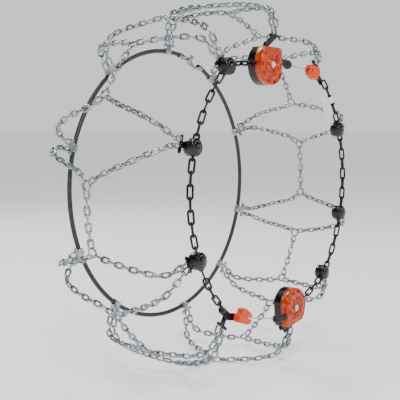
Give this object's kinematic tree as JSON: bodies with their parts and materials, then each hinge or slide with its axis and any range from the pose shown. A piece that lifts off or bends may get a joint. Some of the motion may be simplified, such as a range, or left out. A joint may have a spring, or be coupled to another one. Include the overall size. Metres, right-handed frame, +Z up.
{
  "type": "tire snow chains",
  "caption": "Diamond-pattern traction chain for a car tyre, with a cable hoop inside and spring reels with hooks that close and tighten the side chain outside.",
  "frame": {"origin": "centre of the tyre that the chain is on, on the wheel axis, in the middle of the tyre width", "axes": "+Y along the wheel axis towards the car; the reels face -Y; +Z up; +X to the right seen from outside"},
  "size_m": [0.6487, 0.2669, 0.6479],
  "materials": {
    "bright_steel": "zinc plated, bright",
    "black_steel": "black coated chain steel, semi-gloss",
    "black_nylon": "black nylon, satin",
    "black_housing": "black nylon, satin",
    "orange_cover": "orange plastic, glossy",
    "orange_hook": "orange plastic, glossy",
    "hoop_sleeve": "dark grey plastic sleeve on steel cable, matt",
    "grey_plastic": "grey nylon, matt",
    "polished_steel": "turned steel",
    "spring_steel": "blued spring steel",
    "nozzle_rubber": "black rubber, matt",
    "steel_cable": "stranded steel, bright",
    "label_plastic": "white plastic, blank"
  },
  "bodies": {
    "chain_set": {"cross_chain_01": "bright_steel", "cross_chain_02": "bright_steel", "cross_chain_03": "bright_steel", "cross_chain_04": "bright_steel", "cross_chain_05": "bright_steel", "cross_chain_06": "bright_steel", "cross_chain_07": "bright_steel", "cross_chain_08": "bright_steel", "cross_chain_09": "bright_steel", "cross_chain_10": "bright_steel", "cross_chain_11": "bright_steel", "cross_chain_12": "bright_steel", "cross_chain_13": "bright_steel", "cross_chain_14": "bright_steel", "cross_chain_15": "bright_steel", "cross_chain_16": "bright_steel", "cross_chain_17": "bright_steel", "cross_chain_18": "bright_steel", "cross_chain_19": "bright_steel", "cross_chain_20": "bright_steel", "side_chain_1": "black_steel", "side_chain_2": "black_steel", "rim_bumper_01": "black_nylon", "rim_bumper_02": "black_nylon", "rim_bumper_05": "black_nylon", "rim_bumper_06": "black_nylon", "rim_bumper_07": "black_nylon", "rim_bumper_10": "black_nylon", "end_plate_1": "black_steel", "end_plate_2": "black_steel", "reel_link_1": "black_steel", "reel_link_2": "black_steel", "inner_hoop": "hoop_sleeve", "clasp_hook": "bright_steel", "clasp_eye": "bright_steel", "reel_1_back_housing": "black_housing", "reel_1_front_cover": "orange_cover", "reel_1_axle": "polished_steel", "reel_1_spiral_spring": "spring_steel", "reel_1_pawl_pin": "polished_steel", "reel_1_nozzle": "nozzle_rubber", "reel_2_back_housing": "black_housing", "reel_2_front_cover": "orange_cover", "reel_2_axle": "polished_steel", "reel_2_spiral_spring": "spring_steel", "reel_2_pawl_pin": "polished_steel", "reel_2_nozzle": "nozzle_rubber"},
    "reel_1_spool": {"reel_1_spool": "grey_plastic"},
    "reel_1_cable_end": {"reel_1_barrel": "polished_steel", "reel_1_cable": "steel_cable"},
    "reel_1_hook": {"reel_1_hook": "orange_hook"},
    "reel_1_pawl": {"reel_1_lock_pawl": "spring_steel"},
    "reel_2_spool": {"reel_2_spool": "grey_plastic"},
    "reel_2_cable_end": {"reel_2_barrel": "polished_steel", "reel_2_cable": "steel_cable"},
    "reel_2_hook": {"reel_2_hook": "orange_hook"},
    "reel_2_pawl": {"reel_2_lock_pawl": "spring_steel"},
    "size_plate": {"size_plate": "label_plastic"},
    "clasp_gate": {"clasp_gate": "bright_steel"}
  },
  "joints": [
    {"name": "reel_1_spool_spin", "type": "hinge", "parent": "chain_set", "child": "reel_1_spool", "pos_m": [-0.026, -0.12, 0.213], "axis": [0, 1, 0], "range_deg": [0, 60], "stiffness_Nm_per_rad": 0.1},
    {"name": "reel_1_hook_pull", "type": "slide", "parent": "chain_set", "child": "reel_1_cable_end", "axis": [0.9979, 0, -0.0645], "range_m": [0, 0.0165], "deforming": ["reel_1_cable"]},
    {"name": "reel_1_hook_tilt", "type": "hinge", "parent": "reel_1_cable_end", "child": "reel_1_hook", "pos_m": [0.11275, -0.1295, 0.21072], "axis": [-0.0645, 0, -0.9979], "range_deg": [0, 25]},
    {"name": "reel_1_pawl_turn", "type": "hinge", "parent": "chain_set", "child": "reel_1_pawl", "pos_m": [-0.05116, -0.112, 0.19666], "axis": [0, -1, 0], "range_deg": [0, 9], "stiffness_Nm_per_rad": 0.02},
    {"name": "reel_2_spool_spin", "type": "hinge", "parent": "chain_set", "child": "reel_2_spool", "pos_m": [0.058, -0.12, -0.2165], "axis": [0, 1, 0], "range_deg": [0, 60], "stiffness_Nm_per_rad": 0.1},
    {"name": "reel_2_hook_pull", "type": "slide", "parent": "chain_set", "child": "reel_2_cable_end", "axis": [-0.9775, 0, 0.211], "range_m": [0, 0.0165], "deforming": ["reel_2_cable"]},
    {"name": "reel_2_hook_tilt", "type": "hinge", "parent": "reel_2_cable_end", "child": "reel_2_hook", "pos_m": [-0.09574, -0.1295, -0.20537], "axis": [0.211, 0, 0.9775], "range_deg": [0, 25]},
    {"name": "reel_2_pawl_turn", "type": "hinge", "parent": "chain_set", "child": "reel_2_pawl", "pos_m": [0.08098, -0.112, -0.19722], "axis": [0, -1, 0], "range_deg": [0, 9], "stiffness_Nm_per_rad": 0.02},
    {"name": "size_plate_swing", "type": "hinge", "parent": "chain_set", "child": "size_plate", "pos_m": [0.19995, -0.125, 0.16144], "axis": [-0.6293, 0, 0.7771], "range_deg": [0, 90]},
    {"name": "clasp_gate_turn", "type": "hinge", "parent": "chain_set", "child": "clasp_gate", "pos_m": [0.09175, 0.1228, 0.22412], "axis": [0, -1, 0], "range_deg": [0, 28], "stiffness_Nm_per_rad": 0.02}
  ],
  "couplings": [
    {"joint": "reel_1_spool_spin", "follows": "reel_1_hook_pull", "rad_per_m": 63.3},
    {"joint": "reel_2_spool_spin", "follows": "reel_2_hook_pull", "rad_per_m": 63.3}
  ]
}
